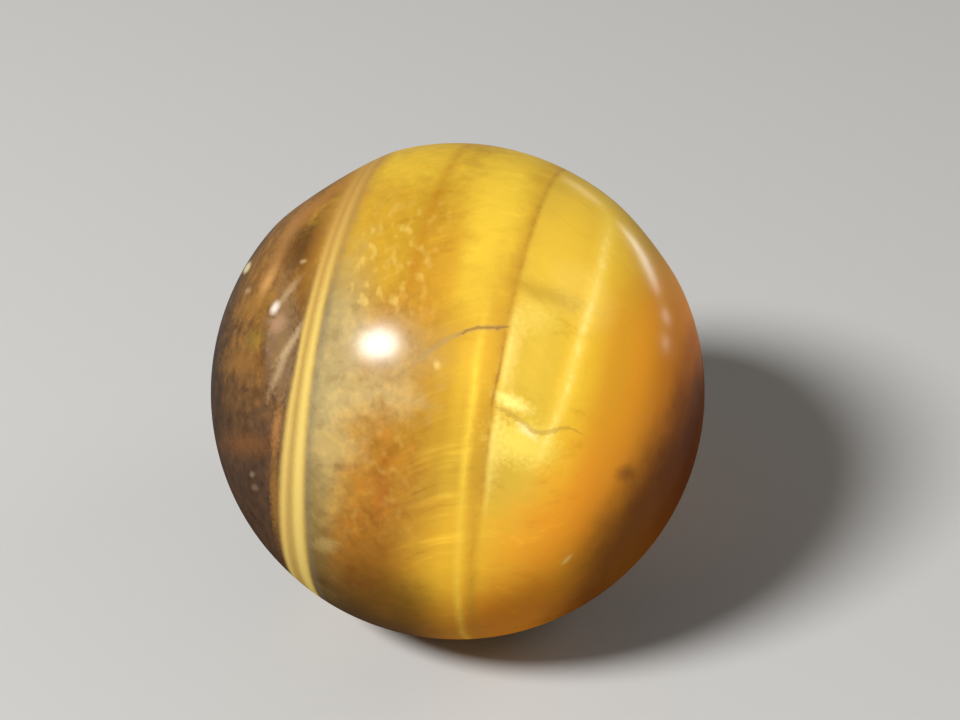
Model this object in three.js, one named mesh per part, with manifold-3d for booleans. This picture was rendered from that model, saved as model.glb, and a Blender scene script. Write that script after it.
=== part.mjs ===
// Polished tiger's eye: one tumbled stone, nearly a ball, worn a little flat in places,
// with a shallow shell-shaped chip on its glassy brown side and a flat foot that it rests on.
// Millimetres, +Z up. The origin is the centre of the foot. The golden side faces -Y.
import * as THREE from 'three';
import { mergeVertices } from 'three/addons/utils/BufferGeometryUtils.js';
import Module from 'manifold-3d';

const wasm = await Module();
wasm.setup();

// The ball and its foot
const STONE_DIAMETER = 25;
const FOOT_DIAMETER = 8.4;
const FACET_RINGS = 18;

// The crown is a low swelling of the top, its width set by a power of the facing angle
const CROWN = { azimuth: 101, elevation: 52, rise: 0.13, power: 6 };

// Places that tumbling wore flat: where each one faces, in degrees, and how far it is sunk.
// A higher sharpness makes their rims crisper.
const WORN_FLATS = [
  { name: 'shoulder', azimuth: 136, elevation: 43, sunk: 0.36 },
  { name: 'right cheek', azimuth: 24, elevation: 29, sunk: 0.12 },
  { name: 'back', azimuth: 74, elevation: -14, sunk: 0.28 },
  { name: 'left heel', azimuth: 204, elevation: -38, sunk: 0.24 },
  { name: 'right heel', azimuth: -20, elevation: -46, sunk: 0.2 },
];
const FLAT_SHARPNESS = 150;

// The chip: a long shallow scoop, its length turned in degrees from straight uphill
const CHIP = { azimuth: 216, elevation: 35.7, length: 6.2, width: 2.5, depth: 0.32, turn: 34.5 };

// The ground block that cuts the foot is larger than the ball
const CUT_MARGIN = 2;

const ballRadius = STONE_DIAMETER / 2;
const footRadius = FOOT_DIAMETER / 2;
const centreHeight = Math.sqrt(ballRadius ** 2 - footRadius ** 2);

// Unit vector that faces an azimuth from +X towards +Y and an elevation above the ground
function facing(azimuth, elevation) {
  const turn = THREE.MathUtils.degToRad(azimuth);
  const lift = THREE.MathUtils.degToRad(elevation);
  const level = Math.cos(lift);
  return new THREE.Vector3(level * Math.cos(turn), level * Math.sin(turn), Math.sin(lift));
}

// The chip's own directions: out of the stone, along the scoop and across it
function chipFrame() {
  const out = facing(CHIP.azimuth, CHIP.elevation);
  const side = new THREE.Vector3(0, 0, 1).cross(out).normalize();
  const uphill = new THREE.Vector3().crossVectors(out, side);
  const turn = THREE.MathUtils.degToRad(CHIP.turn);
  const along = uphill.clone().applyAxisAngle(out, turn);
  const across = new THREE.Vector3().crossVectors(out, along);
  return { out, along, across };
}

const flats = WORN_FLATS.map((flat) => ({
  normal: facing(flat.azimuth, flat.elevation),
  distance: ballRadius - flat.sunk,
}));
const crownFacing = facing(CROWN.azimuth, CROWN.elevation);
const chip = chipFrame();

// Radius of the worn ball: a soft minimum of the swollen ball and the planes of its flats
function wornRadius(direction) {
  const swelling = CROWN.rise * Math.max(0, direction.dot(crownFacing)) ** CROWN.power;
  const ball = ballRadius + swelling;
  let sum = 1;
  for (const flat of flats) {
    const reach = Math.max(0, direction.dot(flat.normal)) / flat.distance;
    sum += (reach * ball) ** FLAT_SHARPNESS;
  }
  return ball / sum ** (1 / FLAT_SHARPNESS);
}

// Depth of the scoop under the worn surface: deepest in the middle, with a crisp rim
function chipDepth(direction) {
  if (direction.dot(chip.out) <= 0) {
    return 0;
  }
  const along = (direction.dot(chip.along) * STONE_DIAMETER) / CHIP.length;
  const across = (direction.dot(chip.across) * STONE_DIAMETER) / CHIP.width;
  const fromRim = 1 - along ** 2 - across ** 2;
  return CHIP.depth * Math.max(0, fromRim);
}

// The whole stone before its foot is cut: a ball of even facets, each corner moved to the surface
function tumbledBall() {
  const ball = new THREE.IcosahedronGeometry(1, FACET_RINGS);
  ball.deleteAttribute('normal');
  ball.deleteAttribute('uv');
  const geometry = mergeVertices(ball);
  const corners = geometry.getAttribute('position');
  const direction = new THREE.Vector3();
  for (let i = 0; i < corners.count; i += 1) {
    direction.fromBufferAttribute(corners, i).normalize();
    const radius = wornRadius(direction) - chipDepth(direction);
    corners.setXYZ(i, direction.x * radius, direction.y * radius, direction.z * radius);
  }
  geometry.translate(0, 0, centreHeight);
  return geometry;
}

// Everything below the ground plane
function groundBlock() {
  const side = STONE_DIAMETER + CUT_MARGIN;
  const block = new THREE.BoxGeometry(side, side, side);
  block.translate(0, 0, -side / 2);
  block.deleteAttribute('normal');
  block.deleteAttribute('uv');
  return mergeVertices(block);
}

function toSolid(geometry) {
  return new wasm.Manifold(
    new wasm.Mesh({
      numProp: 3,
      vertProperties: new Float32Array(geometry.getAttribute('position').array),
      triVerts: new Uint32Array(geometry.getIndex().array),
    }),
  );
}

function toGeometry(solid) {
  const mesh = solid.getMesh();
  const geometry = new THREE.BufferGeometry();
  geometry.setAttribute('position', new THREE.BufferAttribute(mesh.vertProperties, mesh.numProp));
  geometry.setIndex(new THREE.BufferAttribute(mesh.triVerts, 1));
  geometry.computeVertexNormals();
  return geometry;
}

// Golden brown, glossy from polishing, with no metal
function stoneMaterial() {
  return new THREE.MeshStandardMaterial({ color: 0xc48a2e, roughness: 0.12, metalness: 0 });
}

function stone() {
  const solid = toSolid(tumbledBall()).subtract(toSolid(groundBlock()));
  const mesh = new THREE.Mesh(toGeometry(solid), stoneMaterial());
  mesh.name = 'stone';
  return mesh;
}

const part = new THREE.Group();
part.add(stone());

export default part;
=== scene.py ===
"""A polished tiger's eye, one tumbled stone, dressed for a plain studio picture.

Lengths are in millimetres unless a name says otherwise, and Blender's own units are metres.
Places on the stone are measured from the centre of its ball. `across` runs over the bands, from
the glassy brown side to the golden side. `height` runs up the face that the camera sees.
"""

from __future__ import annotations

import logging
import math
from dataclasses import dataclass, field
from typing import Sequence, Union

import bpy
from mathutils import Matrix, Vector


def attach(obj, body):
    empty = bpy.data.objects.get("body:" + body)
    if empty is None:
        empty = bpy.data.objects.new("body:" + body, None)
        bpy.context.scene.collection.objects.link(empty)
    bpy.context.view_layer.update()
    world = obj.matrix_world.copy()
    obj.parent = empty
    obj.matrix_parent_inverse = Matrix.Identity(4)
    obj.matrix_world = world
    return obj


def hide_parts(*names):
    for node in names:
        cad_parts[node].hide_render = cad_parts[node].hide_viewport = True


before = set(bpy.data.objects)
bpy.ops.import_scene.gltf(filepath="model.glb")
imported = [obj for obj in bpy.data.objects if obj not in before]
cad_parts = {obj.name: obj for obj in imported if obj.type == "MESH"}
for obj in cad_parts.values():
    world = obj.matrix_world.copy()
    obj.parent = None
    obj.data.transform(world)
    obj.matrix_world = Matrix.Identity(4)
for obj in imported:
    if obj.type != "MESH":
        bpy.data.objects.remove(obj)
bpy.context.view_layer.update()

LOG = logging.getLogger("tigers_eye")
METRE = 0.001

# A height beyond the stone's own, for a vein that runs right round, and the least half width
BEYOND = 14.0
THINNEST = 0.001

Point = tuple[float, float]
Colour = tuple[float, float, float]
Value = Union["Signal", float]


def facing(azimuth: float, elevation: float) -> Vector:
    """Finds the unit vector that faces a direction.

    Args:
        azimuth: degrees from +X towards +Y.
        elevation: degrees above the ground.

    Returns:
        The unit vector.
    """
    turn = math.radians(azimuth)
    lift = math.radians(elevation)
    level = math.cos(lift)
    return Vector((level * math.cos(turn), level * math.sin(turn), math.sin(lift)))


class Signal:
    """One output of a node tree, with arithmetic that adds Math nodes to the tree."""

    def __init__(self, graph: "Graph", socket: bpy.types.NodeSocket) -> None:
        """Keeps the socket and the graph that it belongs to."""
        self.graph = graph
        self.socket = socket

    def __add__(self, other: Value) -> "Signal":
        """Adds."""
        return self.graph.math("ADD", self, other)

    def __sub__(self, other: Value) -> "Signal":
        """Subtracts."""
        return self.graph.math("SUBTRACT", self, other)

    def __rsub__(self, other: Value) -> "Signal":
        """Subtracts from a number."""
        return self.graph.math("SUBTRACT", other, self)

    def __mul__(self, other: Value) -> "Signal":
        """Multiplies."""
        return self.graph.math("MULTIPLY", self, other)

    def __truediv__(self, other: Value) -> "Signal":
        """Divides."""
        return self.graph.math("DIVIDE", self, other)

    def __rtruediv__(self, other: Value) -> "Signal":
        """Divides a number."""
        return self.graph.math("DIVIDE", other, self)

    def __pow__(self, other: Value) -> "Signal":
        """Raises to a power."""
        return self.graph.math("POWER", self, other)

    def __abs__(self) -> "Signal":
        """Drops the sign."""
        return self.graph.math("ABSOLUTE", self)


class Graph:
    """A node tree being built, for a material or for Geometry Nodes."""

    def __init__(self, tree: bpy.types.NodeTree) -> None:
        """Keeps the tree that new nodes go into."""
        self.tree = tree

    def node(self, kind: str, **settings: object) -> bpy.types.Node:
        """Adds a node.

        Args:
            kind: the node's type name.
            **settings: attributes to set on it.

        Returns:
            The node.
        """
        made = self.tree.nodes.new(kind)
        for name, value in settings.items():
            setattr(made, name, value)
        return made

    def feed(self, socket: bpy.types.NodeSocket, value: object) -> None:
        """Gives an input a link or a plain value.

        Args:
            socket: the input.
            value: a Signal to link, or a number, vector or colour to keep on the socket.
        """
        if isinstance(value, Signal):
            self.tree.links.new(value.socket, socket)
        elif socket.type == "RGBA" and len(value) == 3:
            socket.default_value = (*value, 1.0)
        else:
            socket.default_value = value

    def out(self, node: bpy.types.Node, name: str) -> Signal:
        """Takes one output of a node by name."""
        return Signal(self, node.outputs[name])

    def math(self, operation: str, *values: Value) -> Signal:
        """Works out a number with one Math node.

        Args:
            operation: the node's operation.
            *values: its inputs, in order.

        Returns:
            The result.
        """
        made = self.node("ShaderNodeMath", operation=operation)
        for socket, value in zip(made.inputs, values):
            self.feed(socket, value)
        return Signal(self, made.outputs[0])

    def vector(self, operation: str, *values: object) -> Signal:
        """Works out a vector, or a number, with one Vector Math node.

        Args:
            operation: the node's operation.
            *values: its inputs, in order. Scale takes its factor second.

        Returns:
            The result, which is a number for a dot product or a length.
        """
        made = self.node("ShaderNodeVectorMath", operation=operation)
        scaling = operation == "SCALE"
        sockets = (made.inputs[0], made.inputs["Scale"]) if scaling else made.inputs
        for socket, value in zip(sockets, values):
            self.feed(socket, value)
        number = operation in {"DOT_PRODUCT", "LENGTH"}
        return self.out(made, "Value" if number else "Vector")

    def combine(self, x: Value, y: Value, z: Value) -> Signal:
        """Makes a vector of three numbers."""
        made = self.node("ShaderNodeCombineXYZ")
        for socket, value in zip(made.inputs, (x, y, z)):
            self.feed(socket, value)
        return self.out(made, "Vector")

    def remap(self, value: Value, low: float, high: float, to: Point = (0.0, 1.0)) -> Signal:
        """Eases from one number to another as a value crosses a range, and holds outside it.

        Args:
            value: the value to follow.
            low: where the easing starts.
            high: where it ends; it may be below `low`.
            to: the results at the start and the end.

        Returns:
            The eased number.
        """
        made = self.node("ShaderNodeMapRange", interpolation_type="SMOOTHSTEP")
        for name, given in zip(("Value", "From Min", "From Max"), (value, low, high)):
            self.feed(made.inputs[name], given)
        self.feed(made.inputs["To Min"], to[0])
        self.feed(made.inputs["To Max"], to[1])
        return self.out(made, "Result")

    def noise(self, place: Signal, scale: float, detail: float = 2.0, roughness: float = 0.5,
              seed: float = 0.0) -> Signal:
        """Adds smooth noise from about 0 to 1, with 0.5 as its middle.

        Args:
            place: where to read it.
            scale: how many swells there are in one unit of `place`.
            detail: octaves of finer noise.
            roughness: how strong each finer octave is.
            seed: picks one pattern.

        Returns:
            The noise.
        """
        made = self.node("ShaderNodeTexNoise", noise_dimensions="4D")
        inputs = {"Vector": place, "W": seed, "Scale": scale, "Detail": detail,
                  "Roughness": roughness}
        for name, value in inputs.items():
            self.feed(made.inputs[name], value)
        return Signal(self, made.outputs[0])

    def route(self, value: Signal, points: Sequence[Point]) -> Signal:
        """Follows a smooth curve through a few points.

        Args:
            value: the value that the curve is read at.
            points: pairs of a value and the result there, with values rising.

        Returns:
            The result, which holds beyond the first and last points.
        """
        starts = [start for start, _ in points]
        results = [result for _, result in points]
        low, high = starts[0], starts[-1]
        base = min(results)
        rise = max(max(results) - base, 1e-6)
        made = self.node("ShaderNodeFloatCurve")
        curve = made.mapping.curves[0]
        while len(curve.points) < len(points):
            curve.points.new(0.5, 0.5)
        for point, (start, result) in zip(curve.points, points):
            point.location = ((start - low) / (high - low), (result - base) / rise)
        made.mapping.update()
        self.feed(made.inputs["Value"], (value - low) / (high - low))
        return Signal(self, made.outputs[0]) * rise + base

    def ramp(self, value: Signal, stops: Sequence[tuple[float, Colour]]) -> Signal:
        """Blends through colours as a value rises.

        Args:
            value: the value to follow.
            stops: pairs of a value and its colour, with values rising.

        Returns:
            The colour.
        """
        low, high = stops[0][0], stops[-1][0]
        made = self.node("ShaderNodeValToRGB")
        made.color_ramp.interpolation = "EASE"
        elements = made.color_ramp.elements
        elements[0].position, elements[-1].position = 0.0, 1.0
        elements[0].color, elements[-1].color = (*stops[0][1], 1.0), (*stops[-1][1], 1.0)
        for at, colour in stops[1:-1]:
            elements.new((at - low) / (high - low)).color = (*colour, 1.0)
        self.feed(made.inputs[0], (value - low) / (high - low))
        return self.out(made, "Color")

    def blend(self, amount: Value, under: object, over: object, mode: str = "MIX") -> Signal:
        """Lays one colour over another.

        Args:
            amount: how much of `over` shows.
            under: the colour below.
            over: the colour above.
            mode: how they are mixed.

        Returns:
            The mixed colour.
        """
        made = self.node("ShaderNodeMix", data_type="RGBA", blend_type=mode, clamp_factor=True)
        self.feed(made.inputs[0], amount)
        self.feed(made.inputs[6], under)
        self.feed(made.inputs[7], over)
        return Signal(self, made.outputs[2])


@dataclass(frozen=True)
class WornFlat:
    """A place that tumbling wore flat: where it faces, in degrees, and how far it is sunk."""

    name: str
    azimuth: float
    elevation: float
    sunk: float


@dataclass(frozen=True)
class Chip:
    """A shell-shaped chip: a long shallow scoop whose ripples spread from where it was struck."""

    azimuth: float = 216.0
    elevation: float = 35.7
    length: float = 6.2
    width: float = 2.5
    depth: float = 0.32
    turn: float = 34.5
    ripple_height: float = 0.02
    ripple_spacing: float = 0.62

    def directions(self) -> tuple[Vector, Vector, Vector]:
        """Finds the chip's own directions.

        Returns:
            Unit vectors out of the stone, along the scoop and across it.
        """
        out = facing(self.azimuth, self.elevation)
        side = Vector((0.0, 0.0, 1.0)).cross(out).normalized()
        uphill = out.cross(side)
        along = Matrix.Rotation(math.radians(self.turn), 3, out) @ uphill
        return out, along, out.cross(along)


@dataclass(frozen=True)
class StoneShape:
    """The tumbled stone's form, with the same driving dimensions as its solid."""

    diameter: float = 25.0
    foot_diameter: float = 8.4
    crown_azimuth: float = 101.0
    crown_elevation: float = 52.0
    crown_rise: float = 0.13
    crown_power: float = 6.0
    flats: tuple[WornFlat, ...] = (
        WornFlat("shoulder", 136, 43, 0.36),
        WornFlat("right cheek", 24, 29, 0.12),
        WornFlat("back", 74, -14, 0.28),
        WornFlat("left heel", 204, -38, 0.24),
        WornFlat("right heel", -20, -46, 0.2),
    )
    flat_sharpness: float = 150.0
    chip: Chip = field(default_factory=Chip)
    swell_height: float = 0.035
    swell_spacing: float = 5.0
    swell_seed: float = 3.0
    mesh_cuts: int = 120

    @property
    def radius(self) -> float:
        """The ball's radius."""
        return self.diameter / 2

    @property
    def centre_height(self) -> float:
        """The height of the ball's centre over the foot."""
        return math.sqrt(self.radius**2 - (self.foot_diameter / 2) ** 2)

    @property
    def centre(self) -> Vector:
        """The ball's centre, in metres."""
        return Vector((0.0, 0.0, self.centre_height * METRE))

    def sizes(self) -> dict[str, float]:
        """Lists the sizes that the node tree takes as named inputs."""
        named = {
            "Ball Radius": self.radius,
            "Centre Height": self.centre_height,
            "Crown Rise": self.crown_rise,
            "Crown Power": self.crown_power,
            "Flat Sharpness": self.flat_sharpness,
            "Chip Length": self.chip.length,
            "Chip Width": self.chip.width,
            "Chip Depth": self.chip.depth,
            "Ripple Height": self.chip.ripple_height,
            "Ripple Spacing": self.chip.ripple_spacing,
            "Swell Height": self.swell_height,
            "Swell Spacing": self.swell_spacing,
            "Swell Seed": self.swell_seed,
        }
        named.update({f"Sunk {flat.name}": flat.sunk for flat in self.flats})
        return named

    def worn_radius(self, graph: Graph, sizes: dict[str, Signal], way: Signal) -> Signal:
        """Works out the radius of the ball with its crown and its soft worn flats.

        Args:
            graph: the tree being built.
            sizes: the tree's named inputs.
            way: the unit vector from the ball's centre.

        Returns:
            The radius, a soft minimum of the ball and the planes of its flats.
        """
        crown = tuple(facing(self.crown_azimuth, self.crown_elevation))
        towards = graph.math("MAXIMUM", graph.vector("DOT_PRODUCT", way, crown), 0.0)
        ball = sizes["Ball Radius"] + sizes["Crown Rise"] * towards ** sizes["Crown Power"]
        total: Value = 1.0
        for flat in self.flats:
            normal = tuple(facing(flat.azimuth, flat.elevation))
            reach = graph.math("MAXIMUM", graph.vector("DOT_PRODUCT", way, normal), 0.0)
            distance = sizes["Ball Radius"] - sizes[f"Sunk {flat.name}"]
            total = (reach * ball / distance) ** sizes["Flat Sharpness"] + total
        return ball / total ** (1.0 / sizes["Flat Sharpness"])

    def chip_depth(self, graph: Graph, sizes: dict[str, Signal], way: Signal) -> Signal:
        """Works out how far the chip sinks the surface.

        Args:
            graph: the tree being built.
            sizes: the tree's named inputs.
            way: the unit vector from the ball's centre.

        Returns:
            The depth: a scoop with a crisp rim, and ripples round its upper end.
        """
        out, along, across = (tuple(vector) for vector in self.chip.directions())
        on_this_side = graph.math("GREATER_THAN", graph.vector("DOT_PRODUCT", way, out), 0.0)
        double = sizes["Ball Radius"] * 2.0
        down_scoop = graph.vector("DOT_PRODUCT", way, along) * double / sizes["Chip Length"]
        over_scoop = graph.vector("DOT_PRODUCT", way, across) * double / sizes["Chip Width"]
        inside = graph.math("MAXIMUM", 1.0 - down_scoop**2.0 - over_scoop**2.0, 0.0)
        from_strike = graph.math("SQRT", (down_scoop - 1.0) ** 2.0 * sizes["Chip Length"] ** 2.0
                                 + over_scoop**2.0 * sizes["Chip Width"] ** 2.0) / 2.0
        wave = graph.math("SINE", from_strike * math.tau / sizes["Ripple Spacing"])
        ripple = wave * sizes["Ripple Height"] * graph.math("MINIMUM", inside * 3.0, 1.0)
        return on_this_side * (inside * sizes["Chip Depth"] + ripple)

    def build_tree(self) -> tuple[bpy.types.NodeTree, dict[str, str]]:
        """Builds the Geometry Nodes tree that makes the stone.

        Returns:
            The tree, and each named input's socket identifier.
        """
        tree = bpy.data.node_groups.new("Tumbled stone", "GeometryNodeTree")
        made = {name: tree.interface.new_socket(name, in_out="INPUT", socket_type="NodeSocketFloat")
                for name in self.sizes()}
        made["Finish"] = tree.interface.new_socket(
            "Finish", in_out="INPUT", socket_type="NodeSocketMaterial")
        tree.interface.new_socket("Stone", in_out="OUTPUT", socket_type="NodeSocketGeometry")
        graph = Graph(tree)
        entry = graph.node("NodeGroupInput")
        sizes = {name: graph.out(entry, name) for name in self.sizes()}

        block = graph.node("GeometryNodeMeshCube")
        graph.feed(block.inputs["Size"], (2.0, 2.0, 2.0))
        for side in ("Vertices X", "Vertices Y", "Vertices Z"):
            graph.feed(block.inputs[side], self.mesh_cuts + 1)
        corner = graph.out(graph.node("GeometryNodeInputPosition"), "Position")
        even = graph.vector("TANGENT", graph.vector("SCALE", corner, math.pi / 4))
        way = graph.vector("NORMALIZE", even)
        swell = graph.noise(way, sizes["Ball Radius"] / sizes["Swell Spacing"], detail=1.0,
                            seed=sizes["Swell Seed"])
        radius = (self.worn_radius(graph, sizes, way)
                  + (swell - 0.5) * sizes["Swell Height"] - self.chip_depth(graph, sizes, way))
        place = graph.vector("SCALE", way, radius)
        parts = graph.node("ShaderNodeSeparateXYZ")
        graph.feed(parts.inputs[0], place)
        height = graph.out(parts, "Z") + sizes["Centre Height"]
        seat = graph.math("MAXIMUM", height, 0.0)
        resting = graph.combine(graph.out(parts, "X"), graph.out(parts, "Y"), seat)

        move = graph.node("GeometryNodeSetPosition")
        graph.feed(move.inputs["Geometry"], graph.out(block, "Mesh"))
        graph.feed(move.inputs["Position"], graph.vector("SCALE", resting, METRE))
        smooth = graph.node("GeometryNodeSetShadeSmooth")
        graph.feed(smooth.inputs["Geometry"], graph.out(move, "Geometry"))
        realize = graph.node("GeometryNodeRealizeInstances")
        graph.feed(realize.inputs["Geometry"], graph.out(smooth, "Geometry"))
        dress = graph.node("GeometryNodeSetMaterial")
        graph.feed(dress.inputs["Geometry"], graph.out(realize, "Geometry"))
        graph.feed(dress.inputs["Material"], graph.out(entry, "Finish"))
        leave = graph.node("NodeGroupOutput")
        graph.feed(leave.inputs["Stone"], graph.out(dress, "Geometry"))
        return tree, {name: socket.identifier for name, socket in made.items()}

    def make(self, name: str, finish: bpy.types.Material) -> bpy.types.Object:
        """Makes the stone as a plain mesh object at the origin.

        Args:
            name: the piece's name.
            finish: its material.

        Returns:
            The object.
        """
        tree, sockets = self.build_tree()
        stone = bpy.data.objects.new(name, bpy.data.meshes.new(name))
        bpy.context.scene.collection.objects.link(stone)
        modifier = stone.modifiers.new("Tumbled stone", "NODES")
        modifier.node_group = tree
        for size, value in self.sizes().items():
            modifier[sockets[size]] = value
        modifier[sockets["Finish"]] = finish
        bpy.context.view_layer.update()
        evaluated = stone.evaluated_get(bpy.context.evaluated_depsgraph_get())
        mesh = bpy.data.meshes.new_from_object(evaluated)
        stone.modifiers.remove(modifier)
        stone.data = mesh
        mesh.name = name
        return stone


@dataclass(frozen=True)
class Grain:
    """How the stone's bands and fibres lie.

    The bands are flat planes. Their axis points across them, and the fibres run along it.
    """

    azimuth: float = -13.2
    elevation: float = -1.7
    face_elevation: float = 37.0
    sweep: tuple[Point, ...] = (
        (-5.0, -3.5), (-2.0, -2.2), (0.0, -1.05), (1.0, -0.45), (1.6, -0.18), (2.3, 0.0),
        (3.8, 0.0), (5.0, -0.6), (6.2, -1.2), (7.0, -1.25), (9.0, -1.5), (12.0, -2.0),
    )

    @property
    def across(self) -> Vector:
        """The direction over the bands, from the brown side to the golden side."""
        return facing(self.azimuth, self.elevation)

    @property
    def height(self) -> Vector:
        """The direction up the face that the camera sees."""
        lift = math.radians(self.face_elevation)
        return Vector((0.0, math.sin(lift), math.cos(lift)))

    @property
    def toward(self) -> Vector:
        """The direction out of that face."""
        return Vector((1.0, 0.0, 0.0)).cross(self.height)

    @property
    def inward(self) -> Vector:
        """The direction in the band planes that is nearest to going into the face."""
        return self.across.cross(self.height).normalized()


@dataclass(frozen=True)
class Places:
    """Where a point of the surface is, in millimetres from the ball's centre.

    `front` is 1 on the seen face and 0 on the far side. `strand` is the place in the bent
    fibres, squeezed along them, so that noise read there runs out into threads. `layer` is
    squeezed along the bands instead, so that noise read there lies in bands.
    """

    point: Signal
    across: Signal
    height: Signal
    front: Signal
    strand: Signal
    layer: Signal

    @classmethod
    def locate(cls, graph: Graph, grain: Grain, centre: Vector) -> "Places":
        """Works out the places of the point being shaded.

        Args:
            graph: the material's graph.
            grain: how the bands and fibres lie.
            centre: the ball's centre, in metres.

        Returns:
            The places.
        """
        position = graph.out(graph.node("ShaderNodeTexCoord"), "Object")
        point = graph.vector("SCALE", graph.vector("SUBTRACT", position, tuple(centre)), 1 / METRE)
        across, height, toward, inward = (
            graph.vector("DOT_PRODUCT", point, tuple(way))
            for way in (grain.across, grain.height, grain.toward, grain.inward))
        level = height - graph.route(across, grain.sweep)
        strand = graph.combine(across * 0.08, level, inward)
        layer = graph.combine(across, height * 0.05, inward * 0.05)
        return cls(point, across, height, graph.remap(toward, -2.0, 1.5), strand, layer)


@dataclass(frozen=True)
class Mottling:
    """Smooth noise that varies a colour: how fine it is, and the seed that picks its pattern."""

    scale: float
    detail: float
    roughness: float
    seed: float

    def read(self, graph: Graph, place: Signal) -> Signal:
        """Reads the noise at a place, from about -1 to 1, with 0 as its middle."""
        noise = graph.noise(place, self.scale, self.detail, self.roughness, self.seed)
        return (noise - 0.5) * 2.0


@dataclass(frozen=True)
class Tract:
    """The stone's own colour at a place across its bands."""

    at: float
    colour: Colour


@dataclass(frozen=True)
class Patch:
    """A soft oval of another colour on the seen face, its edge broken up by the mottling."""

    name: str
    across: float
    height: float
    half_width: float
    half_height: float
    colour: Colour
    strength: float = 1.0
    edge: float = 0.5
    ragged: float = 1.0
    turn: float = 0.0

    def cover(self, graph: Graph, places: Places, cloud: Signal) -> Signal:
        """Works out how much of the patch shows.

        Args:
            graph: the material's graph.
            places: where the point is.
            cloud: the mottling, with 0 as its middle.

        Returns:
            The cover, from 0 to `strength`.
        """
        aside = places.across - self.across
        above = places.height - self.height
        if self.turn:
            cosine, sine = math.cos(math.radians(self.turn)), math.sin(math.radians(self.turn))
            aside, above = aside * cosine + above * sine, above * cosine - aside * sine
        offset = graph.combine(aside / self.half_width, above / self.half_height, 0.0)
        reach = graph.vector("LENGTH", offset)
        if self.ragged:
            reach = reach + cloud * self.ragged
        cover = graph.remap(reach, 1.0 + self.edge, 1.0 - self.edge, (0.0, self.strength))
        return cover * places.front


@dataclass(frozen=True)
class Vein:
    """A line that keeps to a band plane: its route is across places at rising heights. It draws
    veins, and the painted sheen lines too.
    """

    name: str
    route: tuple[Point, ...]
    half_width: float
    colour: Colour
    softness: float = 0.1
    strength: float = 1.0
    low: float = -BEYOND
    high: float = BEYOND
    fade: float = 1.5
    foot_widening: float = 0.0
    broken: float = 0.0

    def cover(self, graph: Graph, places: Places, waver: Signal, gaps: Signal) -> Signal:
        """Works out how much of the line shows.

        Args:
            graph: the material's graph.
            places: where the point is.
            waver: a small sideways wander, in millimetres.
            gaps: noise with 0 as its middle, which breaks a broken line into patches.

        Returns:
            The cover, from 0 to `strength`.
        """
        middle = graph.route(places.height, self.route) if len(self.route) > 1 else self.route[0][1]
        off = abs(places.across + waver - middle)
        if self.foot_widening:
            off = off - graph.remap(places.height, 6.0, -8.0, (0.0, self.foot_widening))
        cover = graph.remap(off, self.half_width + self.softness, self.half_width - self.softness,
                            (0.0, self.strength))
        if self.broken:
            cover = cover * graph.remap(gaps, -0.15, 0.25, (1.0 - self.broken, 1.0))
        if self.low > -BEYOND:
            cover = cover * graph.remap(places.height, self.low - self.fade, self.low + self.fade)
        if self.high < BEYOND:
            cover = cover * graph.remap(places.height, self.high + self.fade, self.high - self.fade)
        return cover


@dataclass(frozen=True)
class Crack:
    """A healed hairline crack on the seen face: its route is heights at rising across places."""

    name: str
    route: tuple[Point, ...]
    half_width: float
    colour: Colour
    strength: float = 0.9
    jag: float = 0.12
    fade: float = 0.45
    start_fade: float = 0.35
    overrun: float = 0.1
    edge: Point = (1.35, 0.45)

    def cover(self, graph: Graph, places: Places, jitter: Signal) -> Signal:
        """Works out how much of the crack shows.

        Args:
            graph: the material's graph.
            places: where the point is.
            jitter: small noise, with 0 as its middle.

        Returns:
            The cover, from 0 to `strength`.
        """
        start, end = self.route[0][0], self.route[-1][0]
        off = abs(places.height - graph.route(places.across, self.route) + jitter * self.jag)
        tip = self.overrun
        near_ends = (graph.remap(places.across, start - tip, start + self.start_fade)
                     * graph.remap(places.across, end + tip, end + tip - self.fade))
        reach = off / (near_ends * self.half_width + THINNEST)
        return graph.remap(reach, *self.edge, (0.0, self.strength)) * places.front


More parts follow.
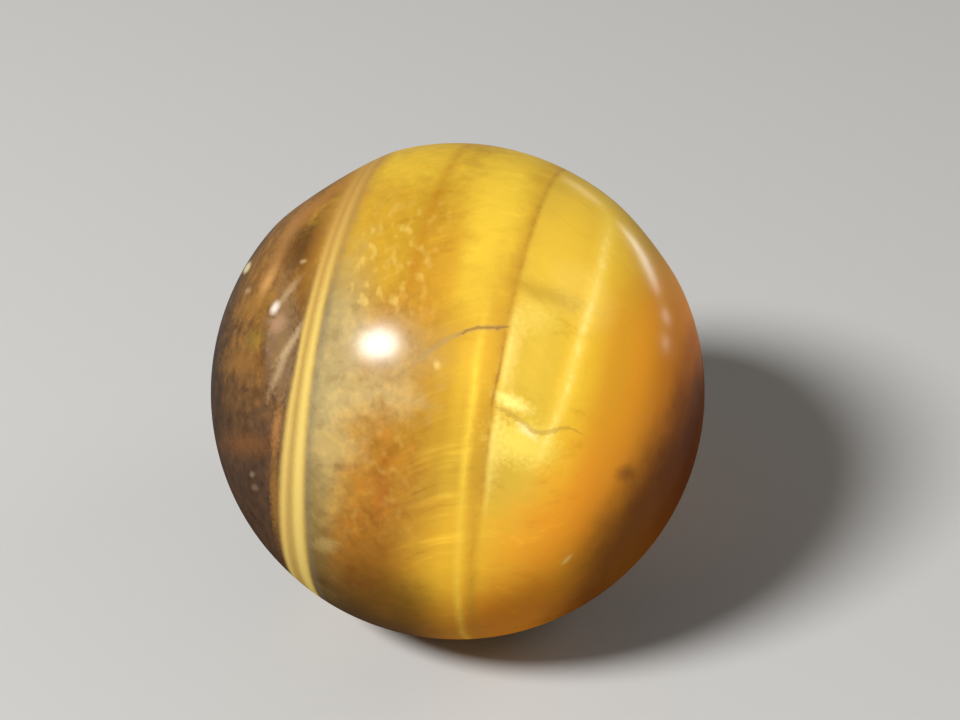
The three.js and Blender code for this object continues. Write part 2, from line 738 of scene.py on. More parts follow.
@dataclass(frozen=True)
class TigersEyeFinish:
    """Polished tiger's eye: silky bands under a clear polish, with veils, veins and cracks.

    The fibres below the polish lean over, so the silky sheen stands to one side of the shine. Its
    bright sheen lines, two glints and the shade of the foot and lower right side are painted into
    the colour.
    """

    name: str = "polished tigers eye"
    grain: Grain = field(default_factory=Grain)
    tracts: tuple[Tract, ...] = (
        Tract(-12.5, (0.022, 0.010, 0.004)),
        Tract(-10.6, (0.036, 0.017, 0.006)),
        Tract(-9.0, (0.070, 0.033, 0.011)),
        Tract(-6.4, (0.085, 0.042, 0.018)),
        Tract(-5.0, (0.20, 0.135, 0.045)),
        Tract(-3.8, (0.34, 0.22, 0.06)),
        Tract(-1.6, (0.33, 0.16, 0.02)),
        Tract(0.4, (0.35, 0.175, 0.018)),
        Tract(1.5, (0.41, 0.225, 0.02)),
        Tract(2.4, (0.50, 0.295, 0.025)),
        Tract(3.3, (0.50, 0.28, 0.024)),
        Tract(4.2, (0.55, 0.355, 0.04)),
        Tract(5.6, (0.62, 0.405, 0.042)),
        Tract(7.2, (0.76, 0.455, 0.03)),
        Tract(8.6, (0.70, 0.325, 0.02)),
        Tract(10.0, (0.85, 0.335, 0.019)),
        Tract(10.9, (0.85, 0.29, 0.016)),
        # The last two tracts turn the golden end dark brown all round, partly as a dark end of the
        # stone and partly as painted shade of the side turned from the light.
        Tract(11.6, (0.56, 0.16, 0.010)),
        Tract(12.3, (0.17, 0.046, 0.006)),
    )
    washes: tuple[Patch, ...] = (
        Patch("warm glass", -8.3, 5.7, 2.0, 5.0, (0.19, 0.09, 0.02), 0.8, 0.7, 0.9),
        Patch("cool glass", -8.6, -6.2, 3.0, 4.2, (0.045, 0.024, 0.014), 0.85, 0.6, 0.6),
        Patch("upper gold", -2.4, 9.0, 3.6, 4.2, (0.46, 0.26, 0.018), 0.9, 0.5, 0.6),
        Patch("upper straw", 1.6, 8.7, 1.6, 4.0, (0.74, 0.49, 0.04), 0.85, 0.6, 0.5),
        Patch("upper right", 6.4, 7.8, 2.6, 3.4, (0.78, 0.485, 0.04), 0.8, 0.7, 0.4),
        Patch("grey veil", -3.9, 0.6, 1.05, 4.4, (0.34, 0.26, 0.115), 0.85, 0.8, 1.0),
        Patch("tan haze", -1.7, -0.1, 1.7, 1.1, (0.43, 0.315, 0.13), 0.8, 0.9, 1.6),
        Patch("upper bronze", 0.1, 6.3, 1.0, 2.8, (0.46, 0.225, 0.018), 0.75, 0.8, 0.9),
        Patch("crown gold", -2.4, 11.4, 2.6, 1.4, (0.66, 0.43, 0.035), 0.7, 0.7, 0.6),
        Patch("veil heart", -1.6, 1.9, 2.6, 1.6, (0.34, 0.235, 0.09), 0.6, 0.7, 0.9),
        Patch("orange mottle", -1.6, -2.2, 1.4, 1.4, (0.33, 0.15, 0.02), 0.75, 0.8, 1.6),
        Patch("rust mottle", -0.9, -4.9, 1.8, 2.6, (0.34, 0.14, 0.012), 0.75, 0.7, 1.4),
        Patch("rust streak", -0.75, -4.6, 0.34, 1.9, (0.30, 0.09, 0.008), 0.6, 0.9, 1.0),
        Patch("tan drift", -3.0, -2.2, 1.3, 0.9, (0.40, 0.27, 0.10), 0.7, 0.8, 1.6),
        Patch("low amber", -1.8, -7.6, 2.8, 2.0, (0.26, 0.10, 0.009), 0.85, 0.7, 1.0),
        Patch("low olive", -4.4, -6.4, 1.0, 3.4, (0.18, 0.12, 0.036), 0.8, 0.6, 0.8),
        Patch("low gold", 4.0, -8.2, 3.0, 3.0, (0.80, 0.43, 0.025), 0.7, 0.7, 0.4),
        Patch("ember", 7.6, -6.4, 2.0, 4.2, (0.90, 0.29, 0.014), 0.7, 0.9, 0.5, turn=-24.0),
        # The next three washes are painted shade: the foot and the lower side darken where the
        # light falls off.
        Patch("burnt foot", -3.4, -13.0, 5.2, 4.5, (0.030, 0.010, 0.002), 0.88, 0.55, 0.12),
        Patch("low umber", 0.0, -10.3, 1.6, 1.4, (0.13, 0.055, 0.004), 0.6, 0.8, 0.3),
        Patch("burnt heel", 6.2, -12.2, 4.4, 3.2, (0.55, 0.17, 0.008), 0.85, 0.5, 0.2),
    )
    blotches: tuple[Patch, ...] = (
        Patch("pale veil foot", -3.5, -2.3, 0.75, 0.6, (0.42, 0.29, 0.09), 0.6, 0.8, 1.2),
        Patch("pale low", -3.5, -7.1, 0.6, 0.3, (0.34, 0.24, 0.08), 0.6, 0.8, 1.2),
        Patch("pale right", 5.3, -2.2, 1.3, 0.8, (0.90, 0.70, 0.12), 0.65, 0.8, 0.9, turn=-24.0),
        Patch("pale under crack", 5.4, -1.6, 0.5, 0.16, (0.93, 0.74, 0.34), 0.6, 0.9, 0.9,
              turn=-38.0),
        Patch("pale seam side", 4.15, 1.9, 0.3, 1.7, (0.74, 0.53, 0.13), 0.5, 0.9, 1.3),
        Patch("pale under seam", 4.15, -2.3, 0.34, 1.3, (0.80, 0.60, 0.13), 0.5, 0.8, 1.3),
        Patch("bronze streak", 5.3, 4.6, 0.34, 1.6, (0.40, 0.235, 0.025), 0.5, 0.9, 0.8, turn=70.0),
        Patch("pale zone", 4.8, 3.6, 0.8, 0.6, (0.74, 0.54, 0.10), 0.5, 0.9, 1.2, turn=-20.0),
        Patch("pale over crack", 4.6, -0.3, 0.75, 0.25, (0.90, 0.78, 0.22), 0.7, 0.8, 0.9,
              turn=-25.0),
        Patch("pale fleck", 1.0, 1.4, 0.12, 0.17, (0.80, 0.58, 0.22), 0.35, 1.0, 0.8, turn=35.0),
        Patch("dark spot", 9.8, -3.7, 0.34, 0.34, (0.2, 0.06, 0.01), 0.6, 0.9, 0.45),
        Patch("small dark spot", -3.0, -3.3, 0.26, 0.16, (0.14, 0.07, 0.02), 0.6, 0.9, 0.6),
        Patch("scratch", 7.7, -7.8, 0.28, 0.08, (0.9, 0.62, 0.2), 0.7, 0.8, 0.4, turn=50.0),
    )
    glassy: tuple[Patch, ...] = (
        Patch("streak top", -7.3, 9.2, 0.45, 1.9, (0.30, 0.135, 0.03), 0.8, 0.9, 0.7, turn=-36.0),
        Patch("orange streak", -8.35, 7.0, 0.4, 2.3, (0.27, 0.13, 0.04), 0.8, 0.9, 0.9, turn=-8.0),
        Patch("bright end", -8.6, 5.3, 0.26, 0.7, (0.44, 0.23, 0.07), 0.85, 0.9, 0.9, turn=-14.0),
        Patch("dark lens", -7.0, 7.0, 0.95, 0.95, (0.085, 0.036, 0.008), 0.85, 0.6, 0.6),
        Patch("amber rim", -6.35, 6.6, 0.35, 2.6, (0.20, 0.085, 0.012), 0.7, 0.8, 0.8),
        Patch("chip floor", -6.95, 2.4, 0.8, 2.9, (0.19, 0.115, 0.055), 0.75, 0.5, 0.9, turn=12.0),
        Patch("chip rim", -7.72, 1.9, 0.13, 1.3, (0.09, 0.04, 0.02), 0.6, 0.9, 0.6, turn=18.0),
        Patch("chip foot rim", -6.85, -0.15, 0.1, 0.75, (0.06, 0.028, 0.015), 0.75, 0.8, 0.4,
              turn=42.0),
        Patch("pinkish patch", -7.35, 3.35, 0.36, 0.42, (0.34, 0.2, 0.11), 0.7, 0.9, 0.9),
        Patch("upper streak", -7.2, 4.75, 0.16, 0.75, (0.34, 0.235, 0.13), 0.65, 1.0, 0.7,
              turn=-36.0),
        Patch("pale streak", -6.35, 2.55, 0.19, 0.95, (0.45, 0.32, 0.17), 0.6, 1.0, 1.0,
              turn=-32.0),
        Patch("pale streak low", -6.8, 1.2, 0.17, 0.95, (0.40, 0.28, 0.15), 0.55, 1.0, 1.0,
              turn=-14.0),
        Patch("olive patch", -8.5, 2.6, 0.5, 0.4, (0.20, 0.125, 0.018), 0.6, 0.9, 1.3),
        Patch("amber cloud", -9.0, 1.5, 1.3, 0.5, (0.20, 0.09, 0.018), 0.6, 0.9, 1.4, turn=-8.0),
        Patch("amber cloud high", -9.0, 4.3, 1.2, 0.5, (0.24, 0.115, 0.02), 0.6, 0.9, 1.4,
              turn=20.0),
        Patch("warm cloud", -8.2, -2.4, 1.6, 0.5, (0.15, 0.058, 0.014), 0.6, 0.9, 1.3),
        Patch("orange border", -6.45, -1.6, 0.22, 0.9, (0.34, 0.15, 0.04), 0.7, 0.9, 0.9),
        Patch("amber border", -6.4, -4.8, 0.22, 2.0, (0.24, 0.11, 0.02), 0.7, 0.8, 1.3),
        Patch("spot high", -6.75, 6.3, 0.16, 0.1, (0.42, 0.27, 0.12), 0.7, 0.9, 0.5),
        # The next two patches are painted glints: small white reflections of the lamp drawn into
        # the colour.
        Patch("glint", -7.7, 4.1, 0.18, 0.26, (0.66, 0.57, 0.48), 0.9, 0.9, 0.35, turn=-20.0),
        Patch("round spot", -10.65, 6.2, 0.3, 0.27, (0.52, 0.43, 0.24), 0.85, 0.5, 0.2),
        Patch("spot edge", -9.8, 5.0, 0.2, 0.14, (0.36, 0.22, 0.12), 0.6, 0.9, 0.5),
        Patch("spot low", -7.8, -3.85, 0.15, 0.12, (0.26, 0.18, 0.12), 0.5, 0.9, 0.5),
        Patch("spot lower", -7.65, -4.5, 0.2, 0.14, (0.22, 0.13, 0.08), 0.45, 0.9, 0.6),
        Patch("dark point", -8.5, 0.2, 0.16, 0.1, (0.04, 0.02, 0.01), 0.8, 0.9, 0.5),
    )
    veins_and_sheen_lines: tuple[Vein, ...] = (
        Vein("brown band", ((-BEYOND, -1.05), (BEYOND, -1.05)), 0.16,
             (0.38, 0.145, 0.009), 0.4, 0.8, low=4.6, fade=1.2, broken=0.5),
        # Line two, line one glow and line one are painted sheen: the bright lines of the silky
        # sheen drawn into the colour.
        Vein("line two", ((-12.0, 2.86), (-8.0, 2.94), (-6.0, 2.94), (-2.0, 2.88), (0.0, 2.84),
                          (2.0, 2.7), (6.0, 2.7)),
             0.09, (0.84, 0.585, 0.06), 0.32, 0.75, high=3.0, fade=3.0, broken=0.3),
        Vein("line one glow", ((-3.2, 6.0), (-1.6, 6.45), (0.0, 6.76), (1.2, 6.88), (3.0, 7.02),
                               (4.9, 7.1), (6.3, 7.08), (8.7, 6.6)),
             0.2, (0.94, 0.66, 0.09), 0.5, 0.65, low=-3.2, high=9.0, fade=1.0),
        Vein("line one", ((-3.2, 5.95), (-2.7, 6.15), (-1.6, 6.42), (0.0, 6.74), (1.2, 6.86),
                          (3.0, 7.0), (4.9, 7.1), (6.3, 7.08), (8.7, 6.6)),
             0.1, (1.0, 0.78, 0.24), 0.26, 0.7, low=-2.6, high=7.5, fade=0.8, broken=0.75),
        Vein("seam shadow", ((0.0, 3.56),), 0.18, (0.40, 0.20, 0.018), 0.32, 0.6, high=9.6,
             broken=0.3),
        Vein("seam", ((-BEYOND, 3.8), (-5.0, 3.78), (-1.0, 3.76), (0.0, 3.7), (0.8, 3.74),
                      (4.0, 3.7), (BEYOND, 3.84)), 0.07,
             (0.33, 0.14, 0.015), 0.17, 0.7, low=-5.0, fade=2.5, broken=0.4),
        Vein("pale seam edge", ((-6.0, 4.0), (-1.0, 4.05), (3.0, 4.02)), 0.07,
             (0.84, 0.64, 0.17), 0.16, 0.5, low=-5.0, high=3.4, fade=1.0, broken=0.5),
        Vein("seam crease", ((-1.0, 3.78), (0.0, 3.72), (0.8, 3.76), (3.0, 3.74)), 0.03,
             (0.16, 0.075, 0.018), 0.09, 0.7, low=-0.6, high=2.2, fade=0.8, broken=0.4),
        Vein("dark border", ((-8.0, -4.4), (-4.0, -4.5), (2.0, -4.66), (8.0, -4.84)), 0.05,
             (0.15, 0.135, 0.10), 0.3, 0.55),
        Vein("stripe bed", ((-9.0, -5.42), (-4.0, -5.38), (2.0, -5.39), (9.0, -5.45)), 0.4,
             (0.40, 0.255, 0.062), 0.17, 0.97, foot_widening=0.4),
        Vein("stripe right", ((-9.0, -5.0), (-4.0, -5.04), (2.0, -5.13), (9.0, -5.24)), 0.12,
             (0.58, 0.425, 0.112), 0.18, 0.95, foot_widening=0.14),
        Vein("stripe left", ((-9.0, -5.98), (-4.0, -5.82), (2.0, -5.7), (9.0, -5.64)), 0.06,
             (0.54, 0.375, 0.10), 0.16, 0.9, foot_widening=0.06),
        Vein("stripe divider", ((-9.0, -5.58), (-4.0, -5.5), (9.0, -5.44)), 0.03,
             (0.30, 0.19, 0.05), 0.1, 0.7, broken=0.5),
    )
    hidden_veins: tuple[Vein, ...] = (
        Vein("red band", ((0.0, -9.1),), 0.12, (0.16, 0.055, 0.012), 0.3, 0.6, broken=0.6),
        Vein("red band two", ((0.0, -7.4),), 0.2, (0.20, 0.07, 0.012), 0.35, 0.7, broken=0.6),
        Vein("umber band", ((0.0, -2.9),), 0.22, (0.15, 0.065, 0.012), 0.3, 0.7, broken=0.5),
        Vein("amber line", ((0.0, -1.7),), 0.08, (0.62, 0.34, 0.05), 0.2, 0.6, broken=0.6),
        Vein("rust band", ((0.0, 0.9),), 0.3, (0.24, 0.085, 0.01), 0.35, 0.65, broken=0.5),
        Vein("straw line", ((0.0, 1.9),), 0.1, (0.80, 0.52, 0.06), 0.25, 0.6, broken=0.5),
        Vein("umber band two", ((0.0, 5.3),), 0.3, (0.32, 0.13, 0.014), 0.4, 0.6, broken=0.5),
        Vein("rust band two", ((0.0, 8.9),), 0.25, (0.45, 0.13, 0.01), 0.35, 0.6, broken=0.5),
    )
    shades: tuple[Patch, ...] = (
        Patch("stripe top", -5.5, 11.0, 0.75, 5.5, (0.36, 0.18, 0.035), 0.75, 0.8, 0.2),
    )
    cracks: tuple[Crack, ...] = (
        Crack("upper crack", ((-0.2, 1.4), (0.5, 2.0), (1.3, 2.6), (2.2, 3.0), (2.6, 3.1),
                              (3.4, 3.1), (3.8, 3.15)), 0.14, (0.29, 0.195, 0.075), 0.5,
              jag=0.1),
        Crack("upper crack end", ((1.6, 2.75), (2.2, 3.0), (2.6, 3.1), (3.4, 3.1), (3.8, 3.15)),
              0.075, (0.20, 0.095, 0.018), 0.6, jag=0.16),
        Crack("lower crack", ((3.85, -0.5), (4.5, -0.8), (5.3, -1.3), (5.9, -1.7), (6.4, -1.65),
                              (7.0, -1.5), (7.6, -1.7), (8.1, -2.1)), 0.13, (0.38, 0.21, 0.035),
              0.45, jag=0.14, fade=1.8),
    )
    cloud: Mottling = Mottling(0.75, 4.0, 0.6, 2.0)
    feather: Mottling = Mottling(0.9, 2.0, 0.5, 7.0)
    fibre: Mottling = Mottling(2.1, 2.0, 0.5, 6.0)
    hair: Mottling = Mottling(5.5, 2.0, 0.5, 8.0)
    gaps: Mottling = Mottling(1.7, 3.0, 0.6, 21.0)
    grit: Mottling = Mottling(4.5, 3.0, 0.6, 4.0)
    layer: Mottling = Mottling(1.6, 3.0, 0.6, 17.0)
    tract_wander: Point = (0.5, 0.22)
    vein_waver: float = 0.07
    # Painted shade: the lower right side, turned away from the light, darkens to deep brown.
    painted_shade_slope: float = 0.45
    painted_shade_reach: Point = (10.8, 13.2)
    painted_shade_colour: Colour = (0.12, 0.028, 0.003)
    painted_shade_strength: float = 0.85
    hidden_warmth: Colour = (0.95, 0.76, 0.6)
    dark_thread: Colour = (0.60, 0.45, 0.30)
    light_thread: Colour = (1.26, 1.34, 1.5)
    dark_mottle: Colour = (0.62, 0.52, 0.38)
    light_mottle: Colour = (1.9, 1.75, 1.3)
    dark_band: Colour = (0.42, 0.32, 0.25)
    light_band: Colour = (1.7, 1.6, 1.4)
    dash_lean: float = 27.0
    dash_colour: Colour = (0.70, 0.49, 0.12)
    dash_strength: float = 0.44
    fibre_lean: float = 0.35
    fibre_relief: float = 0.03
    fibre_bump: float = 0.35
    silk: float = 0.1
    silk_roughness: float = 0.55
    silk_unevenness: float = 0.12
    polish: Point = (0.03, 0.18)
    polish_roughness: float = 0.2
    polish_ior: float = 1.8
    quartz_ior: float = 1.54

    def threads(self, graph: Graph, places: Places, colour: Signal, feather: Signal,
                fibre: Signal, hair: Signal) -> Signal:
        """Draws the fibres: darker and lighter threads, boldest like feathers below the middle.

        Args:
            graph: the material's graph.
            places: where the point is.
            colour: the colour below.
            feather: the broad feathers' noise, with 0 as its middle.
            fibre: the threads' noise, with 0 as its middle.
            hair: the fine threads' noise, with 0 as its middle.

        Returns:
            The colour with its threads.
        """
        silky = graph.remap(places.across, -4.6, -2.0) * graph.remap(places.across, 9.5, 7.0)
        plume = (graph.remap(places.across, -0.4, 1.2) * graph.remap(places.across, 3.3, 2.2)
                 * graph.remap(places.height, 1.5, -3.5) * places.front
                 * graph.remap(places.height, -9.0, -5.5, (0.3, 1.0)))
        fine = (fibre * 1.1 + hair * 0.55) * (silky * 0.27 + plume * 0.3)
        weave = feather * (silky * 0.32 + plume * 0.3) + fine
        dark = graph.remap(weave, -0.02, -0.6)
        light = graph.remap(weave, 0.02, 0.5)
        colour = graph.blend(dark, colour, self.dark_thread, "MULTIPLY")
        lit = graph.blend(1.0, colour, self.light_thread, "MULTIPLY")
        return graph.blend(light, colour, lit)

    def mottle(self, graph: Graph, places: Places, colour: Signal, gaps: Signal) -> Signal:
        """Clouds the brown and veiled side with amber and with darker patches.

        Args:
            graph: the material's graph.
            places: where the point is.
            colour: the colour below.
            gaps: noise with 0 as its middle.

        Returns:
            The clouded colour.
        """
        glassy = graph.remap(places.across, -5.4, -6.4)
        cloudy = (graph.remap(places.across, 2.2, -1.0)
                  * graph.remap(places.height, 5.5, 3.0, (0.4, 1.0))
                  * graph.remap(places.height, -8.0, -5.5, (0.4, 1.0)))
        lift = graph.remap(places.height, -4.5, 3.0, (0.25, 1.0))
        light = graph.remap(gaps, 0.0, 0.32) * (glassy * lift * 0.4 + cloudy * 0.22)
        dark = graph.remap(gaps, 0.0, -0.32) * (glassy * 0.32 + cloudy * 0.4)
        lit = graph.blend(1.0, colour, self.light_mottle, "MULTIPLY")
        return graph.blend(dark, graph.blend(light, colour, lit),
                           graph.blend(1.0, colour, self.dark_mottle, "MULTIPLY"))

    def bands(self, graph: Graph, places: Places, colour: Signal) -> Signal:
        """Lays fine bands over the glassy side, and bolder, warmer ones over the hidden side.

        Args:
            graph: the material's graph.
            places: where the point is.
            colour: the colour below.

        Returns:
            The banded colour.
        """
        hidden = 1.0 - places.front
        warm = graph.blend(1.0, colour, self.hidden_warmth, "MULTIPLY")
        colour = graph.blend(hidden, colour, warm)
        layer = self.layer.read(graph, places.layer)
        glassy = graph.remap(places.across, -5.8, -6.8)
        boldness = graph.math("MAXIMUM", hidden * 0.7, glassy * 0.28)
        dark = graph.remap(layer, 0.0, -0.4) * boldness
        light = graph.remap(layer, 0.0, 0.4) * boldness
        colour = graph.blend(dark, colour,
                             graph.blend(1.0, colour, self.dark_band, "MULTIPLY"))
        return graph.blend(light, colour, graph.blend(1.0, colour, self.light_band, "MULTIPLY"))

    def flecks(self, graph: Graph, places: Places, colour: Signal, cloud: Signal) -> Signal:
        """Scatters the pale dashes and dark points that lie in the grey veil and the mottling.

        Args:
            graph: the material's graph.
            places: where the point is.
            colour: the colour below.
            cloud: the mottling's noise, with 0 as its middle.

        Returns:
            The colour with its flecks.
        """
        lean = math.radians(self.dash_lean)
        down = places.height * math.cos(lean) - places.across * math.sin(lean)
        aside = places.across * math.cos(lean) + places.height * math.sin(lean)
        dash = graph.noise(graph.combine(aside * 2.3, down * 1.6, 0.0), 1.0, detail=1.0,
                           roughness=0.4, seed=11.0)
        left = graph.remap(places.across, -4.7, -3.4)
        high = (graph.remap(places.height, 2.6, 4.6) * graph.remap(places.height, 10.0, 7.5)
                * graph.remap(places.across, 0.6, -1.0))
        low = (graph.remap(places.height, 1.5, -1.0) * graph.remap(places.height, -7.5, -5.5)
               * graph.remap(places.across, 1.8, -0.4) * 0.35)
        crowd = left * graph.math("MAXIMUM", high, low)
        shown = graph.remap(dash, 0.48, 0.74) * graph.remap(cloud, -0.5, 0.0) * crowd * places.front
        return graph.blend(shown * self.dash_strength, colour, self.dash_colour)

    def colour(self, graph: Graph, places: Places) -> tuple[Signal, Signal]:
        """Builds up the stone's colour.

        Args:
            graph: the material's graph.
            places: where the point is.

        Returns:
            The colour, and the threads' relief with 0 as its middle.
        """
        cloud = self.cloud.read(graph, places.point)
        feather = self.feather.read(graph, places.strand)
        fibre = self.fibre.read(graph, places.strand)
        hair = self.hair.read(graph, places.strand)
        gaps = self.gaps.read(graph, places.point)
        wander = cloud * graph.remap(places.across, -1.0, 5.0, self.tract_wander)
        colour = graph.ramp(places.across + wander,
                            [(tract.at, tract.colour) for tract in self.tracts])
        for wash in self.washes:
            colour = graph.blend(wash.cover(graph, places, cloud), colour, wash.colour)
        # Painted shade on the lower right side, where the light falls off.
        painted_shade = graph.remap(places.across - places.height * self.painted_shade_slope + cloud * 0.5,
                            *self.painted_shade_reach)
        colour = graph.blend(painted_shade * self.painted_shade_strength, colour, self.painted_shade_colour)
        colour = self.mottle(graph, places, colour, gaps)
        colour = self.bands(graph, places, colour)
        colour = self.threads(graph, places, colour, feather, fibre, hair)
        grit = self.grit.read(graph, places.point)
        for blotch in self.blotches + self.glassy:
            colour = graph.blend(blotch.cover(graph, places, grit), colour, blotch.colour)
        colour = self.flecks(graph, places, colour, cloud)
        waver = grit * self.vein_waver
        # These are the veins, with the painted sheen lines among them.
        for vein in self.veins_and_sheen_lines:
            colour = graph.blend(vein.cover(graph, places, waver, gaps), colour, vein.colour)
        for vein in self.hidden_veins:
            cover = vein.cover(graph, places, waver, gaps) * (1.0 - places.front)
            colour = graph.blend(cover, colour, vein.colour)
        for shade in self.shades:
            colour = graph.blend(shade.cover(graph, places, grit), colour, shade.colour)
        for crack in self.cracks:
            colour = graph.blend(crack.cover(graph, places, grit), colour, crack.colour)
        return colour, fibre * 0.7 + hair * 0.3

    def build(self, shape: StoneShape) -> bpy.types.Material:
        """Builds the material.

        Args:
            shape: the stone that it dresses.

        Returns:
            The material.
        """
        material = bpy.data.materials.new(self.name)
        material.use_nodes = True
        graph = Graph(material.node_tree)
        shader = material.node_tree.nodes["Principled BSDF"]
        places = Places.locate(graph, self.grain, shape.centre)
        colour, relief = self.colour(graph, places)
        graph.feed(shader.inputs["Base Color"], colour)
        golden = graph.remap(places.across, -5.0, -1.0)
        graph.feed(shader.inputs["Metallic"], golden * self.silk)
        graph.feed(shader.inputs["Roughness"], relief * self.silk_unevenness + self.silk_roughness)

        turn = graph.node("ShaderNodeVectorTransform", vector_type="VECTOR",
                          convert_from="OBJECT", convert_to="WORLD")
        graph.feed(turn.inputs[0], tuple(self.grain.across))
        upright = graph.out(graph.node("ShaderNodeNewGeometry"), "Normal")
        lean = graph.remap(places.across, -4.9, 0.0, (0.0, self.fibre_lean))
        leant = graph.vector("SUBTRACT", upright,
                             graph.vector("SCALE", Signal(graph, turn.outputs[0]), lean))
        threads = graph.node("ShaderNodeBump")
        graph.feed(threads.inputs["Strength"], self.fibre_bump)
        graph.feed(threads.inputs["Distance"], self.fibre_relief * METRE)
        graph.feed(threads.inputs["Height"], relief * golden)
        graph.feed(threads.inputs["Normal"], graph.vector("NORMALIZE", leant))
        graph.feed(shader.inputs["Normal"], graph.out(threads, "Normal"))
        graph.feed(shader.inputs["IOR"], self.quartz_ior)
        graph.feed(shader.inputs["Specular IOR Level"], 0.0)
        level = graph.vector("DOT_PRODUCT", places.point, (0.0, 0.0, 1.0))
        graph.feed(shader.inputs["Coat Weight"], graph.remap(level, -4.5, 6.0, self.polish))
        graph.feed(shader.inputs["Coat Roughness"], self.polish_roughness)
        graph.feed(shader.inputs["Coat IOR"], self.polish_ior)
        return material


@dataclass(frozen=True)
class PlainFinish:
    """A plain finish."""

    name: str
    colour: Colour
    roughness: float

    def build(self) -> bpy.types.Material:
        """Builds the material."""
        material = bpy.data.materials.new(self.name)
        material.use_nodes = True
        shader = material.node_tree.nodes["Principled BSDF"]
        shader.inputs["Base Color"].default_value = (*self.colour, 1.0)
        shader.inputs["Roughness"].default_value = self.roughness
        return material


@dataclass(frozen=True)
class Lamp:
    """A soft light: where it stands as seen from the stone, how large it is and its power."""

    name: str
    azimuth: float
    elevation: float
    distance: float
    width: float
    height: float
    power: float
    tilt: float = 0.0
    lights_floor: bool = True

    def hang(self, target: Vector, lit: bpy.types.Collection) -> bpy.types.Object:
        """Hangs the light so that it faces a point.

        Args:
            target: the point, in metres.
            lit: what a light that leaves the floor out still falls on.

        Returns:
            The light object.
        """
        data = bpy.data.lights.new(self.name, "AREA")
        data.shape = "ELLIPSE"
        data.size = self.width * METRE
        data.size_y = self.height * METRE
        data.energy = self.power
        lamp = bpy.data.objects.new(self.name, data)
        bpy.context.scene.collection.objects.link(lamp)
        back = facing(self.azimuth, self.elevation)
        turn = back.to_track_quat("Z", "Y").to_matrix()
        roll = Matrix.Rotation(math.radians(self.tilt), 3, "Z")
        lamp.matrix_world = (Matrix.Translation(target + back * self.distance * METRE)
                             @ (turn @ roll).to_4x4())
        lamp.visible_camera = False
        if not self.lights_floor:
            lamp.light_linking.receiver_collection = lit
        return lamp


@dataclass(frozen=True)
class Framing:
    """The camera: its view is level across, and the ball's outline gives its distance."""

    elevation: float = 37.0
    half_view: float = 12.0
    frame_width_px: int = 960
    frame_height_px: int = 720
    ball_px: Point = (458.0, 392.0)
    ball_radius_px: float = 247.0
    sensor: float = 36.0
    clip_factor: float = 100.0

    def place(self, shape: StoneShape) -> bpy.types.Object:
        """Places the camera.

        Args:
            shape: the stone that it looks at.

        Returns:
            The camera object.
        """
        lens_px = self.frame_width_px / 2 / math.tan(math.radians(self.half_view))
        distance = shape.radius / math.sin(math.atan(self.ball_radius_px / lens_px))
        lift = math.radians(self.elevation)
        right = Vector((1.0, 0.0, 0.0))
        up = Vector((0.0, math.sin(lift), math.cos(lift)))
        back = right.cross(up)
        aside = (self.ball_px[0] - self.frame_width_px / 2) / lens_px * distance
        above = (self.frame_height_px / 2 - self.ball_px[1]) / lens_px * distance
        data = bpy.data.cameras.new("Camera")
        data.sensor_width = self.sensor
        data.lens = self.sensor / 2 / math.tan(math.radians(self.half_view))
        data.clip_start = distance * METRE / self.clip_factor
        data.clip_end = distance * METRE * self.clip_factor
        camera = bpy.data.objects.new("Camera", data)
        bpy.context.scene.collection.objects.link(camera)
        offset = (back * distance - right * aside - up * above) * METRE
        camera.matrix_world = (Matrix.Translation(shape.centre + offset)
                               @ Matrix((right, up, back)).transposed().to_4x4())
        bpy.context.scene.camera = camera
        return camera


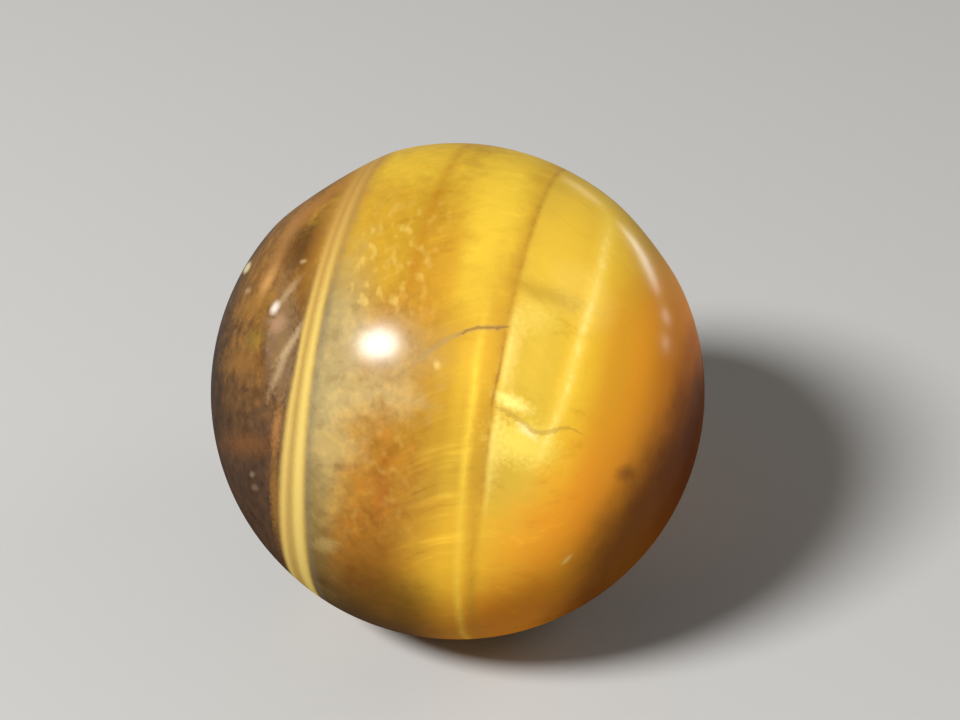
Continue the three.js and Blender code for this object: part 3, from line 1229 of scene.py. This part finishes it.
@dataclass(frozen=True)
class Studio:
    """A pale floor that curves up into a pale backdrop all round, with soft lights."""

    floor_radius: float = 420.0
    cove_radius: float = 120.0
    wall_height: float = 460.0
    segments: int = 96
    cove_steps: int = 12
    floor_colour: Colour = (0.47, 0.465, 0.45)
    floor_roughness: float = 0.7
    world_colour: Colour = (0.95, 0.95, 0.92)
    world_strength: float = 0.12
    lamps: tuple[Lamp, ...] = (
        Lamp("Key", -145.0, 47.2, 400.0, 126.0, 84.0, 2.4, tilt=35.6),
        Lamp("Edge", 49.5, -0.3, 200.0, 70.0, 11.0, 0.05, lights_floor=False),
        Lamp("Edge low", 33.5, -2.4, 130.0, 9.0, 4.0, 0.003, lights_floor=False),
        Lamp("Edge lower", 24.0, -2.4, 130.0, 11.0, 4.0, 0.003, lights_floor=False),
        Lamp("Edge far", 69.0, 0.0, 200.0, 30.0, 9.0, 0.006, lights_floor=False),
        Lamp("Fill", 12.0, 38.0, 400.0, 200.0, 200.0, 0.19),
    )

    def outline(self) -> list[Point]:
        """Draws the cove from the floor's middle to the wall's top, as radius and height."""
        points = [(0.0, 0.0), (self.floor_radius, 0.0)]
        for step in range(1, self.cove_steps + 1):
            turn = math.pi / 2 * step / self.cove_steps
            points.append((self.floor_radius + self.cove_radius * math.sin(turn),
                           self.cove_radius * (1 - math.cos(turn))))
        points.append((self.floor_radius + self.cove_radius, self.wall_height))
        return points

    def backdrop(self) -> bpy.types.Object:
        """Makes the floor and backdrop in one sweep.

        Returns:
            The object.
        """
        outline = self.outline()
        corners = [(0.0, 0.0, 0.0)]
        faces: list[tuple[int, ...]] = []
        for radius, height in outline[1:]:
            for step in range(self.segments):
                turn = math.tau * step / self.segments
                corners.append((radius * math.cos(turn) * METRE, radius * math.sin(turn) * METRE,
                                height * METRE))
        for step in range(self.segments):
            after = (step + 1) % self.segments
            faces.append((0, 1 + step, 1 + after))
            for ring in range(len(outline) - 2):
                low = 1 + ring * self.segments
                high = low + self.segments
                faces.append((low + step, high + step, high + after, low + after))
        mesh = bpy.data.meshes.new("backdrop")
        mesh.from_pydata(corners, [], faces)
        mesh.shade_smooth()
        sweep = bpy.data.objects.new("backdrop", mesh)
        bpy.context.scene.collection.objects.link(sweep)
        card = PlainFinish("pale card", self.floor_colour, self.floor_roughness)
        mesh.materials.append(card.build())
        return sweep

    def light(self, stone: bpy.types.Object, target: Vector) -> None:
        """Hangs the lights and sets the faint light from all round.

        Args:
            stone: the object that they light.
            target: the point that they face, in metres.
        """
        lit = bpy.data.collections.new("lit by the edge lights")
        lit.objects.link(stone)
        for lamp in self.lamps:
            lamp.hang(target, lit)
        world = bpy.data.worlds.new("Studio")
        bpy.context.scene.world = world
        world.use_nodes = True
        background = world.node_tree.nodes["Background"]
        background.inputs["Color"].default_value = (*self.world_colour, 1.0)
        background.inputs["Strength"].default_value = self.world_strength


def main() -> None:
    """Builds the stone and the studio, and reports each piece."""
    logging.basicConfig(level=logging.INFO, format="%(name)s: %(message)s")
    scene = bpy.context.scene
    scene.view_settings.view_transform = "Standard"
    shape = StoneShape()
    finish = TigersEyeFinish().build(shape)
    stone = shape.make("tigers_eye", finish)
    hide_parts("stone")
    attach(stone, "root")
    LOG.info("%s: %d faces", stone.name, len(stone.data.polygons))
    studio = Studio()
    studio.backdrop()
    studio.light(stone, shape.centre)
    Framing().place(shape)


if __name__ == "__main__":
    main()
